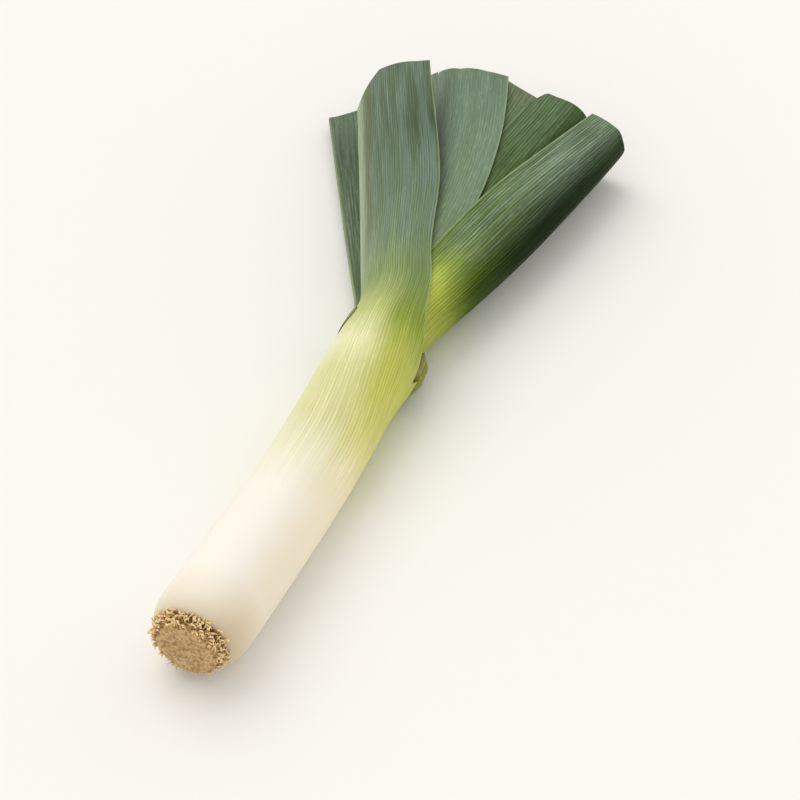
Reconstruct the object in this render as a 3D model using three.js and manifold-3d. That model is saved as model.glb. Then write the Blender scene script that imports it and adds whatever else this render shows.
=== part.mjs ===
// A trimmed leek lying on a table, in millimetres, +Z up.
// The white shank runs along +Y from the root plate, and its leaves fan out at the far end.
// A leek's leaves stand in two opposite ranks. Each is a long sheet folded along its keel: its lower part is
// rolled into a sheath round all the younger leaves, and its blade opens like a U towards the other rank.
// The outermost whole sheath is the skin of the shank, so the shank and that leaf's blade are one piece.
// Every other leaf is a sheet of its own, and the younger ones lie inside the folds of the older ones.
import * as THREE from 'three';
import { mergeVertices } from 'three/addons/utils/BufferGeometryUtils.js';
import Module from 'manifold-3d';

const LEFT = -1;
const RIGHT = 1;

// The spot on the table under the middle of the whole leek, measured from the spot under the root plate.
// It becomes the origin.
const TABLE_MIDDLE = new THREE.Vector2(-17.4, 188.2);

// The shank
const SHANK_RADIUS = 17.4;
const BULB_SWELL = 0.35; // how much thicker the shank is near the roots
const BULB_CENTRE = 18; // distance of the thickest place from the root plate
const BULB_SPREAD = 34;
const END_RADIUS = 13.4; // where the rounded end meets the root plate
const END_ROUNDING = 11; // length of that rounding
const SHANK_START = 2.3;
const SHANK_BOW = 4.2; // sideways bow of the shank's middle
const BOW_LENGTH = 215;
const ROOT_ASIDE = -0.8; // how far the root end lies to the left
const REST_DEPTH = 0.9; // how far the shank's round underside is flattened where it lies
const LIFT_START = 90; // from here the shank rises off the table, on to the sheath that lies under its far end
const LIFT_LENGTH = 55;
const END_RING_SHARES = [0, 0.12, 0.3, 0.6, 1]; // places of the rings along the rounded end
const THROAT_FLOOR = 145; // the solid part of the shank ends here, and the sheath goes on as a tube
const MOUTH = 150; // here the tube starts to open on the right
const SHANK_ROWS = 15;

// The leaves
const LEAF_THICKNESS = 1.1; // at the keel
const MARGIN_THICKNESS = 0.7;
const NEST_STEP = 1.75; // each younger leaf's sheath is this much smaller in radius
const SHEATH_GAP = 0.35; // between the shank's skin and the oldest leaf, which it lies on
const NEST_START = THROAT_FLOOR + 1.5; // the inner leaves start just clear of the throat's floor
const WING_COLUMNS = 10; // steps from the keel to each margin
const LEAF_ROWS = 14;
const ROW_CROWDING = 1.35; // rows lie closer together near the mouth, where a leaf bends
const CUT_CORNER = 0.4; // the share of a wing at which its cut end turns a corner
const SHARPENED = 0.6; // the share of a leaf's length by which its keel has grown sharp
const KEEL_STEPS = 24; // short straight steps that add up to a keel's bent course
const LEAF_ROUGHNESS = 0.5;

// The shank's far end lies on the oldest leaf, and its near end on its own flattened underside.
const SHEATH_LIFT = LEAF_THICKNESS + SHEATH_GAP + REST_DEPTH;

// The root plate
const PLATE_RADIUS = 12.6;
const PLATE_FACE_RADIUS = 11;
const PLATE_FACE = -2.4;
const PLATE_BACK = 2;
const PLATE_BEVEL = 1.2;
const PLATE_SIDES = 36;
const ROOT_ROWS = [-1.7, -0.4, 0.8]; // places of the rows of root stubs along the plate's rim
const ROOTS_PER_ROW = 26;
const ROOT_LENGTH = 3.4;
const ROOT_RADIUS = 0.65;
const ROOT_SUNK = 2; // how deep a stub is rooted in the plate
const ROOT_SIDES = 4;
const ROOT_TAPER = 0.6; // a stub's thickness at its tip, as a share of that at its foot
const ROOT_SHORTEST = 0.6; // the shortest and the longest stub, as shares of ROOT_LENGTH
const ROOT_LONGEST = 1.15;
const ROOT_FLATTENED = 0.12; // stubs are this much shorter underneath and longer on top
const ROOT_LEAN = 0.5; // the most that a stub leans to a side or backwards, in radians
const ROOT_HELD_LEAN = 0.5; // the row next to the shank leans backwards by this share only
const ROOT_ROUGHNESS = 0.9;
const ROOT_COLOR = 0xc9a877;
const ROOT_SEED = 7;

const mix = (a, b, t) => a + (b - a) * t;
const clamp = (t) => Math.min(1, Math.max(0, t));
const ease = (t) => clamp(t) ** 2 * (3 - 2 * clamp(t));
const radians = (degrees) => (degrees * Math.PI) / 180;
const vector = (x, y, z) => new THREE.Vector3(x, y, z);

// The same row of random numbers in every run.
function seeded(seed) {
  let state = seed;
  return () => {
    state = (state * 16807) % 2147483647;
    return state / 2147483647;
  };
}

const fullRadius = (y) => SHANK_RADIUS + BULB_SWELL * Math.exp(-(((y - BULB_CENTRE) / BULB_SPREAD) ** 2));

function shankRadius(y) {
  const towardsEnd = 1 - clamp((y - SHANK_START) / END_ROUNDING);
  return mix(END_RADIUS, fullRadius(y), Math.sqrt(1 - towardsEnd ** 2));
}

function shankCentre(y) {
  const lift = SHEATH_LIFT * ease((y - LIFT_START) / LIFT_LENGTH);
  const bow = SHANK_BOW * Math.sin(Math.PI * (y / BOW_LENGTH));
  return vector(ROOT_ASIDE + bow, y, fullRadius(y) - REST_DEPTH + lift);
}

// Each leaf: how far in it is nested, where its keel bends away and where to, how long it is at its keel, and
// for each wing its width at the mouth, at the collar, further out and at the cut end, and where it has opened.
// The cut values say how much longer the leaf is at the corners of its cut end, and at its margins.
const leaves = [
  {
    name: 'shank_with_outer_leaf',
    side: LEFT,
    layer: 0,
    bend: { start: 24, length: 22, heading: -23.3, endHeading: -24 },
    length: 174,
    sharpness: 24,
    front: { widths: [53, 37.3, 40.8, 40], collar: 0.215, opened: 34 },
    back: { widths: [52, 33, 40, 42], collar: 0.2, opened: 40 },
    cut: { corner: 13, margin: 13 },
    color: 0xdfe3b4,
  },
  {
    name: 'leaf_right_1',
    side: RIGHT,
    layer: 1,
    bend: { start: 14, length: 26, heading: 16.6, endHeading: 7.8 },
    length: 183,
    sharpness: 12,
    front: { widths: [26, 29, 33.3, 22.4], collar: 0.2, opened: 30 },
    back: { widths: [26, 28, 36, 34], collar: 0.2, opened: 30 },
    cut: { corner: 1, margin: -3 },
    color: 0x55763f,
  },
  {
    name: 'leaf_left_2',
    side: LEFT,
    layer: 2,
    bend: { start: 22, length: 26, heading: -4.6, endHeading: -20.2 },
    length: 208,
    sharpness: 22,
    front: { widths: [21.5, 30.5, 35.5, 37.8], collar: 0.3, opened: 30 },
    back: { widths: [21.5, 25, 39, 37], collar: 0.2, opened: 30 },
    cut: { corner: -13, margin: -21 },
    color: 0x7b9a79,
  },
  {
    name: 'leaf_right_2',
    side: RIGHT,
    layer: 3,
    bend: { start: 14, length: 26, heading: 8, endHeading: 8 },
    length: 184.5,
    sharpness: 20,
    front: { widths: [18, 20, 33, 35.5], collar: 0.2, opened: 28 },
    back: { widths: [18, 21, 31, 34], collar: 0.2, opened: 28 },
    cut: { corner: 2.5, margin: 5 },
    color: 0x5f7f57,
  },
  {
    name: 'leaf_left_3',
    side: LEFT,
    layer: 4,
    bend: { start: 22, length: 30, heading: -6.5, endHeading: -6.5 },
    length: 188,
    sharpness: 22,
    front: { widths: [15, 17, 27, 42], collar: 0.2, opened: 26 },
    back: { widths: [15, 17, 27, 38], collar: 0.2, opened: 26 },
    cut: { corner: 8.6, margin: -6.2 },
    color: 0x587a55,
  },
  {
    name: 'heart_leaf',
    side: RIGHT,
    layer: 5,
    bend: { start: 20, length: 30, heading: 2, endHeading: 2 },
    length: 180,
    sharpness: 24,
    front: { widths: [12, 13, 17, 24], collar: 0.2, opened: 26 },
    back: { widths: [12, 13, 17, 24], collar: 0.2, opened: 26 },
    cut: { corner: 1, margin: 0 },
    color: 0x8aa85a,
  },
];

// The oldest leaf lies open on the table under all the others. Only the lower half of its torn sheath is left.
const oldestLeaf = {
  name: 'oldest_leaf',
  side: LEFT,
  layer: -1,
  from: 158,
  bend: { start: 20, length: 26, heading: -28, endHeading: -28 },
  length: 184,
  sharpness: 60,
  sinks: 12,
  back: { widths: [42, 34, 44, 57], collar: 0.25, opened: 42 },
  cut: { corner: 18, margin: 42 },
  color: 0x4a6450,
};

// The way a keel runs, seen from above: along the shank's axis, round the bend at the collar, then outwards.
function headingAt(leaf, s) {
  const { start, length, heading, endHeading } = leaf.bend;
  const bent = heading * ease((s - start) / length);
  return radians(mix(bent, endHeading, ease((s - start - length) / (leaf.length - start - length))));
}

function keelAt(leaf, s) {
  const place = shankCentre(MOUTH);
  place.x += leaf.side * leaf.nest;
  for (let k = 0; k < KEEL_STEPS; k += 1) {
    const heading = headingAt(leaf, ((k + 0.5) / KEEL_STEPS) * s);
    place.x += (Math.sin(heading) * s) / KEEL_STEPS;
    place.y += (Math.cos(heading) * s) / KEEL_STEPS;
  }
  return place;
}

// Half of a folded leaf's section, at a distance q from the keel along the sheet. It leaves the keel at the
// angle sharpness from upright, bends over evenly up to the angle turn, and runs on straight.
// Where it lies level, it is as high above the keel as height says.
function halfFold(q, height, sharpness, turn) {
  const rate = (1 - Math.sin(sharpness)) / height;
  const bent = Math.min(q, (turn - sharpness) / rate);
  const lean = sharpness + rate * bent;
  return {
    depth: (Math.cos(sharpness) - Math.cos(lean)) / rate + (q - bent) * Math.sin(lean),
    rise: (Math.sin(lean) - Math.sin(sharpness)) / rate + (q - bent) * Math.cos(lean),
    lean,
  };
}

// A wing's width at a share of the leaf's length: a smooth curve through its widths at the mouth, at the
// collar, halfway from there to the cut end, and at the cut end.
function wingWidth({ widths, collar }, share) {
  const places = [0, collar, mix(collar, 1, 0.5), 1];
  const slopes = widths.map((_, i) => {
    const [before, after] = [Math.max(i - 1, 0), Math.min(i + 1, 3)];
    return (widths[after] - widths[before]) / (places[after] - places[before]);
  });
  const k = places.findLastIndex((place, i) => i < 3 && (share >= place || i === 0));
  const span = places[k + 1] - places[k];
  const t = clamp((share - places[k]) / span);
  const bend = slopes[k] * (1 - t) - slopes[k + 1] * t;
  return mix(widths[k], widths[k + 1], ease(t)) + bend * span * t * (1 - t);
}

// A point on a leaf's middle surface and its outward normal. The share v runs from -1 at the back margin
// over 0 at the keel to 1 at the front margin, and s is the distance from the mouth along the keel.
function leafPoint(leaf, v, s) {
  const wing = v > 0 ? leaf.front : leaf.back;
  const sign = v < 0 || leaf.layer < 0 ? -1 : 1;
  const keel = keelAt(leaf, s);
  const heading = headingAt(leaf, s);
  const opened = ease(s / wing.opened);
  const sharpness = radians(leaf.sharpness) * ease(s / (leaf.length * SHARPENED));
  const turn = radians(mix(180, 90, opened));
  const q = Math.abs(v) * wingWidth(wing, s / leaf.length);
  const sunk = (leaf.sinks ?? 0) * ease(s / (leaf.length * SHARPENED));
  const { depth, rise, lean } = halfFold(q, leaf.nest - sunk, sharpness, turn);
  const inward = vector(Math.cos(heading), -Math.sin(heading), 0).multiplyScalar(-leaf.side);
  const point = keel.addScaledVector(inward, depth);
  point.z += sign * rise - sunk;
  const normal = inward.clone().multiplyScalar(-Math.cos(lean));
  normal.z = v === 0 && leaf.layer >= 0 ? 0 : sign * Math.sin(lean);
  return { point, normal: normal.normalize(), thickness: mix(LEAF_THICKNESS, MARGIN_THICKNESS, v ** 4) };
}

function cutLength(leaf, v) {
  const across = Math.abs(v);
  const { corner, margin } = leaf.cut;
  const beyondCorner = clamp((across - CUT_CORNER) / (1 - CUT_CORNER));
  return leaf.length + corner * clamp(across / CUT_CORNER) + (margin - corner) * beyondCorner;
}

// Triangles of a grid of vertices, row by row, split along the same diagonal whichever way they face.
function gridFaces(faces, rows, flipped) {
  for (let j = 0; j + 1 < rows.length; j += 1) {
    for (let i = 0; i + 1 < rows[j].length; i += 1) {
      const [a, b, c, d] = [rows[j][i], rows[j][i + 1], rows[j + 1][i + 1], rows[j + 1][i]];
      faces.push(flipped ? [c, b, a] : [a, b, c], flipped ? [d, c, a] : [a, c, d]);
    }
  }
}

function geometryOf(points, faces) {
  const positions = faces.flat().flatMap((i) => points[i].toArray());
  const geometry = new THREE.BufferGeometry();
  geometry.setAttribute('position', new THREE.Float32BufferAttribute(positions, 3));
  geometry.computeVertexNormals();
  return geometry;
}

// Across a folded leaf from the back margin over the keel to the front margin, and across the oldest leaf,
// which lies open, from its inner margin to its outer one.
const shares = Array.from({ length: 2 * WING_COLUMNS + 1 }, (_, i) => i / WING_COLUMNS - 1);

// The rows of vertices on one face of a leaf's sheet, from a distance s along its keel out to the cut end.
function sheetRows(points, leaf, side, from) {
  return Array.from({ length: LEAF_ROWS + 1 }, (_, j) =>
    shares.map((share) => {
      const v = leaf.layer < 0 ? (share - 1) / 2 : share;
      const s = mix(from, cutLength(leaf, v), (j / LEAF_ROWS) ** ROW_CROWDING);
      const { point, normal, thickness } = leafPoint(leaf, v, s);
      return points.push(point.addScaledVector(normal, (side * thickness) / 2)) - 1;
    }),
  );
}

function marginsAndEnd(faces, outer, inner, turned) {
  const last = outer.length - 1;
  const column = (rows, i) => rows.map((row) => row.at(i));
  gridFaces(faces, [outer[last], inner[last]], turned);
  gridFaces(faces, [column(outer, 0), column(inner, 0)], turned);
  gridFaces(faces, [column(outer, -1), column(inner, -1)], !turned);
}

function leafGeometry(leaf) {
  const points = [];
  const faces = [];
  const turned = leaf.side === RIGHT;
  const outer = sheetRows(points, leaf, 1, leaf.from - MOUTH);
  const inner = sheetRows(points, leaf, -1, leaf.from - MOUTH);
  gridFaces(faces, outer, turned);
  gridFaces(faces, inner, !turned);
  gridFaces(faces, [outer[0], inner[0]], !turned);
  marginsAndEnd(faces, outer, inner, turned);
  return geometryOf(points, faces);
}

// A closed ring of vertices round the shank's axis. It starts on the right, where the outer leaf's two margins
// meet, and goes underneath first, as a leaf's row does from its back margin to its front margin.
function shankRing(points, y, radius) {
  const centre = shankCentre(y);
  const ring = shares.slice(1).map((v) => {
    const angle = Math.PI * v;
    const z = centre.z + radius * Math.sin(angle);
    return points.push(vector(centre.x - radius * Math.cos(angle), y, Math.max(z, 0))) - 1;
  });
  return [ring.at(-1), ...ring];
}

// The shank is solid up to the throat's floor, then a tube round the younger leaves. At the mouth the tube
// opens on the right, and its wall runs on as the outer leaf.
function shankGeometry(leaf) {
  const points = [];
  const faces = [];
  const places = END_RING_SHARES.map((t) => SHANK_START + t * END_ROUNDING);
  for (let k = 1; k <= SHANK_ROWS; k += 1) places.push(mix(SHANK_START + END_ROUNDING, MOUTH, k / SHANK_ROWS));
  const skin = places.map((y) => shankRing(points, y, shankRadius(y)));
  const bore = [THROAT_FLOOR, MOUTH].map((y) => shankRing(points, y, shankRadius(y) - LEAF_THICKNESS));
  const outer = [skin.at(-1), ...sheetRows(points, leaf, 1, 0).slice(1)];
  const inner = [bore.at(-1), ...sheetRows(points, leaf, -1, 0).slice(1)];
  gridFaces(faces, [...skin, ...outer.slice(1)], false);
  gridFaces(faces, [...bore, ...inner.slice(1)], true);
  marginsAndEnd(faces, outer, inner, false);
  for (const [ring, flipped] of [[skin[0], true], [bore[0], false]]) {
    const middle = ring.slice(1).reduce((sum, i) => sum.add(points[i]), vector(0, 0, 0)).divideScalar(ring.length - 1);
    const hub = points.push(middle) - 1;
    gridFaces(faces, [ring, ring.map(() => hub)], flipped);
  }
  return geometryOf(points, faces.filter(([a, b, c]) => a !== b && b !== c && a !== c));
}

// A closed shape as a solid that can be joined to others, and back again.
const wasm = await Module();
wasm.setup();

function solidOf(geometry) {
  const bare = geometry.clone().deleteAttribute('normal').deleteAttribute('uv');
  const merged = mergeVertices(bare, 1e-3);
  const triVerts = new Uint32Array(merged.index.array);
  return new wasm.Manifold(new wasm.Mesh({ numProp: 3, vertProperties: merged.attributes.position.array, triVerts }));
}

function geometryFrom(solid) {
  const { vertProperties, triVerts } = solid.getMesh();
  const geometry = new THREE.BufferGeometry();
  geometry.setAttribute('position', new THREE.BufferAttribute(vertProperties, 3));
  geometry.setIndex(new THREE.BufferAttribute(triVerts, 1));
  geometry.computeVertexNormals();
  return geometry;
}

// The flat stem of the bulb, cut clean across, with rows of short dry root stubs standing out round its rim.
function rootPlateGeometry() {
  const random = seeded(ROOT_SEED);
  const profile = [
    [0, PLATE_FACE],
    [PLATE_FACE_RADIUS, PLATE_FACE],
    [PLATE_RADIUS, PLATE_FACE + PLATE_BEVEL],
    [PLATE_RADIUS, PLATE_BACK],
    [0, PLATE_BACK],
  ];
  const disc = new THREE.LatheGeometry(profile.map(([r, y]) => new THREE.Vector2(r, y)), PLATE_SIDES);
  let solid = solidOf(disc);
  for (const place of ROOT_ROWS) {
    for (let k = 0; k < ROOTS_PER_ROW; k += 1) {
      const angle = ((k + random()) / ROOTS_PER_ROW) * 2 * Math.PI;
      const length = ROOT_LENGTH * mix(ROOT_SHORTEST, ROOT_LONGEST, random()) * (1 - ROOT_FLATTENED * Math.sin(angle));
      const stub = new THREE.CylinderGeometry(ROOT_RADIUS * ROOT_TAPER, ROOT_RADIUS, length + ROOT_SUNK, ROOT_SIDES, 1);
      stub.translate(0, (length - ROOT_SUNK) / 2, 0);
      stub.rotateX(mix(-ROOT_LEAN, 0, random()) * (place > 0 ? ROOT_HELD_LEAN : 1));
      stub.rotateZ(mix(-ROOT_LEAN, ROOT_LEAN, random()));
      stub.translate(0, PLATE_RADIUS, 0);
      stub.rotateX(Math.PI / 2).rotateY(angle).translate(0, place, 0);
      solid = solid.add(solidOf(stub));
    }
  }
  const middle = shankCentre(0);
  return geometryFrom(solid).translate(middle.x, 0, middle.z);
}

for (const leaf of leaves) {
  leaf.nest = SHANK_RADIUS - LEAF_THICKNESS / 2 - leaf.layer * NEST_STEP;
  leaf.from ??= NEST_START;
}
oldestLeaf.nest = SHANK_RADIUS + SHEATH_GAP + LEAF_THICKNESS / 2;

const model = new THREE.Group();

function addMesh(name, geometry, color, roughness) {
  const mesh = new THREE.Mesh(geometry, new THREE.MeshStandardMaterial({ color, roughness, metalness: 0 }));
  mesh.name = name;
  model.add(mesh);
}

for (const leaf of [...leaves, oldestLeaf]) {
  const geometry = leaf.layer === 0 ? shankGeometry(leaf) : leafGeometry(leaf);
  addMesh(leaf.name, geometry, leaf.color, LEAF_ROUGHNESS);
}
addMesh('root_plate', rootPlateGeometry(), ROOT_COLOR, ROOT_ROUGHNESS);

model.position.set(-TABLE_MIDDLE.x, -TABLE_MIDDLE.y, 0);

export default model;
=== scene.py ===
import math
import bpy
import numpy as np
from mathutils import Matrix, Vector


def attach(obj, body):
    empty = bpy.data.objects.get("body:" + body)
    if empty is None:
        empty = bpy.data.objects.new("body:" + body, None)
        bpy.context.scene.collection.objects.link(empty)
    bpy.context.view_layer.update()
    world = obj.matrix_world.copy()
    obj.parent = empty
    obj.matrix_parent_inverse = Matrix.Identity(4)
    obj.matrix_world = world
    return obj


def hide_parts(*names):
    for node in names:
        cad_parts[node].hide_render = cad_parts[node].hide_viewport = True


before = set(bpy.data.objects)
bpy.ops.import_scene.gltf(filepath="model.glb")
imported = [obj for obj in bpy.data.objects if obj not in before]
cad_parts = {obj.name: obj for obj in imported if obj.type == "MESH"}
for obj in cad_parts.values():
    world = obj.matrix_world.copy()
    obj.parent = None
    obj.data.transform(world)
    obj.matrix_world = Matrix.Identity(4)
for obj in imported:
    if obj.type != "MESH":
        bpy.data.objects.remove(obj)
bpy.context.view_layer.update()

# Camera, light and floor
# The camera looks down on the leek from the right of its root end, as in the photograph.
# The light is a broad soft one from the upper left, over a pale floor that is nearly white.
scene = bpy.context.scene
scene.view_settings.view_transform = "Standard"

AZIMUTH = math.radians(22.1)
ELEVATION = math.radians(43)
CAMERA_DISTANCE = 0.8
LOOK_AT = Vector((0.0308, -0.0303, 0))
camera = bpy.data.objects.new("camera", bpy.data.cameras.new("camera"))
away = Vector((
    math.sin(AZIMUTH) * math.cos(ELEVATION),
    -math.cos(AZIMUTH) * math.cos(ELEVATION),
    math.sin(ELEVATION),
))
camera.location = LOOK_AT + away * CAMERA_DISTANCE
camera.rotation_euler = away.to_track_quat("Z", "Y").to_euler()
camera.data.lens = 90
camera.data.sensor_width = 36
scene.collection.objects.link(camera)
scene.camera = camera

world = bpy.data.worlds.new("studio")
world.use_nodes = True
world.node_tree.nodes["Background"].inputs["Color"].default_value = (1, 0.985, 0.96, 1)
world.node_tree.nodes["Background"].inputs["Strength"].default_value = 0.815
scene.world = world

sun = bpy.data.lights.new("soft_light", "SUN")
sun.energy = 0.88
sun.angle = math.radians(50)
sun.color = (1, 0.985, 0.955)
sun_object = bpy.data.objects.new("soft_light", sun)
sun_object.rotation_euler = Vector((-0.55, 0.35, 1)).to_track_quat("Z", "Y").to_euler()
scene.collection.objects.link(sun_object)


def srgb(red, green, blue):
    """A colour as seen on a screen, from 0 to 255, as the colour that the shader takes."""
    shares = [channel / 255 for channel in (red, green, blue)]
    return tuple(c / 12.92 if c < 0.04045 else ((c + 0.055) / 1.055) ** 2.4 for c in shares) + (1,)


bpy.ops.mesh.primitive_plane_add(size=6)
floor = bpy.context.object
floor.name = "floor"
floor_material = bpy.data.materials.new("floor")
floor_material.use_nodes = True
floor_shader = floor_material.node_tree.nodes["Principled BSDF"]
floor_shader.inputs["Base Color"].default_value = (0.925, 0.915, 0.885, 1)
floor_shader.inputs["Roughness"].default_value = 0.9
floor_shader.inputs["Specular IOR Level"].default_value = 0.1
floor.data.materials.append(floor_material)

# The shank and the outer leaf
# The white shank is a roll of fleshy leaf sheaths, and its skin is the outermost whole sheath. Past the
# mouth that sheath opens and runs on as a folded green blade, ribbed along its length.
MM = 0.001
ROOT_PLATE_X = 17.4
ROOT_PLATE_Y = -188.2
MAP_LENGTH = 400
LEFT, RIGHT = -1, 1

SHANK_RADIUS = 17.4
BULB_SWELL = 0.35
BULB_CENTRE = 18
BULB_SPREAD = 34
END_RADIUS = 13.4
END_ROUNDING = 11
SHANK_START = 2.3
SHANK_BOW = 4.2
BOW_LENGTH = 215
ROOT_ASIDE = -0.8
REST_DEPTH = 0.9
THROAT_FLOOR = 145
MOUTH = 150
LEAF_THICKNESS = 1.1
MARGIN_THICKNESS = 0.7
NEST_STEP = 1.75
SHEATH_GAP = 0.35
SHARPENED = 0.6
CUT_CORNER = 0.4
CUT_UNEVEN = 0.25
ROUNDED_FROM = 0.85
ROW_CROWDING = 1.2
MARGIN_MARK = 0.5
SHEATH_LIFT = LEAF_THICKNESS + SHEATH_GAP + REST_DEPTH
GATHERING = 60
COLLAR_SWELL = 2.3
COLLAR_PLACE = 156
COLLAR_SPREAD = 15
LIFT_START = 90
LIFT_LENGTH = 55


def mix(a, b, t):
    return a + (b - a) * t


def ease(t):
    t = np.clip(t, 0, 1)
    return t * t * (3 - 2 * t)


def full_radius(y):
    return SHANK_RADIUS + BULB_SWELL * np.exp(-((y - BULB_CENTRE) / BULB_SPREAD) ** 2)


def shank_radius(y):
    towards_end = 1 - np.clip((y - SHANK_START) / END_ROUNDING, 0, 1)
    return mix(END_RADIUS, full_radius(y), np.sqrt(1 - towards_end ** 2))


def shank_centre(y):
    """Sideways place and height of the shank's axis at a distance y from the root plate."""
    x = ROOT_ASIDE + SHANK_BOW * np.sin(np.pi * y / BOW_LENGTH)
    return x, full_radius(y) - REST_DEPTH + SHEATH_LIFT * ease((y - LIFT_START) / LIFT_LENGTH)


def waves(x, y, seed, size):
    """Smooth irregular waves, from about -1 to 1, over the ground or any other two measures."""
    turn = np.random.default_rng(seed)
    total = np.zeros(np.broadcast(x, y).shape)
    for k in range(5):
        angle = turn.uniform(0, 2 * np.pi)
        rate = (0.6 + 0.35 * k) * 2 * np.pi / size
        total += np.sin((x * np.cos(angle) + y * np.sin(angle)) * rate + turn.uniform(0, 2 * np.pi)) / (k + 2)
    return total


def heading_at(leaf, s):
    """The way the keel runs, seen from above, at a distance s from the mouth."""
    start, length, heading, end_heading = leaf["bend"]
    bent = heading * ease((s - start) / length)
    onward = ease((s - start - length) / (leaf["length"] - start - length))
    return np.radians(mix(bent, end_heading, onward))


def keel_at(leaf, s):
    """The keel's place on the ground: along the shank's axis, round the bend at the collar, and outwards."""
    fine = np.linspace(-20, leaf["length"] * 1.25, 1200)
    step = fine[1] - fine[0]
    headings = heading_at(leaf, fine - step / 2)
    x = np.cumsum(np.sin(headings)) * step
    y = np.cumsum(np.cos(headings)) * step
    x -= np.interp(0, fine, x)
    y -= np.interp(0, fine, y)
    mouth_x, mouth_z = shank_centre(MOUTH)
    mouth_x += leaf["side"] * leaf["nest"]
    return mouth_x + np.interp(s, fine, x), MOUTH + np.interp(s, fine, y), mouth_z


def half_fold(q, height, sharpness, turn):
    """Half of a folded leaf's section, at a distance q from the keel along the sheet."""
    rate = (1 - np.sin(sharpness)) / height
    bent = np.minimum(q, (turn - sharpness) / rate)
    lean = sharpness + rate * bent
    depth = (np.cos(sharpness) - np.cos(lean)) / rate + (q - bent) * np.sin(lean)
    rise = (np.sin(lean) - np.sin(sharpness)) / rate + (q - bent) * np.cos(lean)
    return depth, rise, lean


def wing_width(wing, share):
    """A wing's width at a share of the leaf's length: a smooth curve through its four widths."""
    widths = np.array(wing["widths"], float)
    places = np.array([0, wing["collar"], mix(wing["collar"], 1, 0.5), 1])
    before, after = np.array([0, 0, 1, 2]), np.array([1, 2, 3, 3])
    slopes = (widths[after] - widths[before]) / (places[after] - places[before])
    share = np.clip(share, 0, 1)
    k = np.clip(np.searchsorted(places, share, side="right") - 1, 0, 2)
    span = places[k + 1] - places[k]
    t = (share - places[k]) / span
    bend = slopes[k] * (1 - t) - slopes[k + 1] * t
    return mix(widths[k], widths[k + 1], ease(t)) + bend * span * t * (1 - t)


def leaf_sheet(leaf, v, s):
    """Points on a leaf's middle surface, their outward normals, and the sheet's thickness there."""
    front = v > 0
    wings = leaf.get("front", leaf["back"]), leaf["back"]
    sign = np.where((v < 0) | (leaf["layer"] < 0), -1.0, 1.0)
    opened = np.where(front, ease(s / wings[0]["opened"]), ease(s / wings[1]["opened"]))
    share = s / leaf["length"]
    width = np.where(front, wing_width(wings[0], share), wing_width(wings[1], share))
    keen = ease(s / (leaf["length"] * SHARPENED))
    sharpness = np.radians(leaf["sharpness"]) * keen
    sunk = leaf.get("sinks", 0) * keen
    turn = np.radians(mix(180, 90, opened))
    depth, rise, lean = half_fold(np.abs(v) * width, leaf["nest"] - sunk, sharpness, turn)
    heading = heading_at(leaf, s)
    x, y, z = keel_at(leaf, s)
    inward_x, inward_y = -leaf["side"] * np.cos(heading), leaf["side"] * np.sin(heading)
    points = np.stack([x + inward_x * depth, y + inward_y * depth, z + sign * rise - sunk], -1)
    upright = np.where((v == 0) & (leaf["layer"] >= 0), 0, sign * np.sin(lean))
    normals = np.stack([-inward_x * np.cos(lean), -inward_y * np.cos(lean), upright], -1)
    normals /= np.linalg.norm(normals, axis=-1, keepdims=True)
    return points, normals, mix(LEAF_THICKNESS, MARGIN_THICKNESS, v ** 4)


def cut_length(leaf, v):
    """How far from the mouth the knife has cut the leaf off: longer or shorter at its corners and margins."""
    across = np.abs(v)
    corner, margin = leaf["cut"]
    to_corner = corner * np.clip(across / CUT_CORNER, 0, 1)
    beyond_corner = (margin - corner) * np.clip((across - CUT_CORNER) / (1 - CUT_CORNER), 0, 1)
    uneven = CUT_UNEVEN * waves(v * 30, 0, leaf["layer"] + 61, 9)
    uneven -= leaf.get("rounded", 0) * np.clip((v - ROUNDED_FROM) / (1 - ROUNDED_FROM), 0, 1) ** 2
    return leaf["length"] + to_corner + beyond_corner + uneven


def settled(points, s):
    """All the blades sag and swell a little together, so that they never cut each other."""
    swell = 0.5 * waves(points[..., 0], points[..., 1], 5, 60) * ease(s / 60) * ease(points[..., 2] / 6)
    return points + np.stack([0 * swell, 0 * swell, swell], -1)


def swollen(points):
    """The shank is a little fuller on the right of its collar, where the younger leaves press outwards."""
    beside = ease((points[..., 0] - shank_centre(MOUTH)[0]) / SHANK_RADIUS)
    push = COLLAR_SWELL * np.exp(-((points[..., 1] - COLLAR_PLACE) / COLLAR_SPREAD) ** 2) * beside
    return points + np.stack([push, 0 * push, 0 * push], -1)


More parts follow.
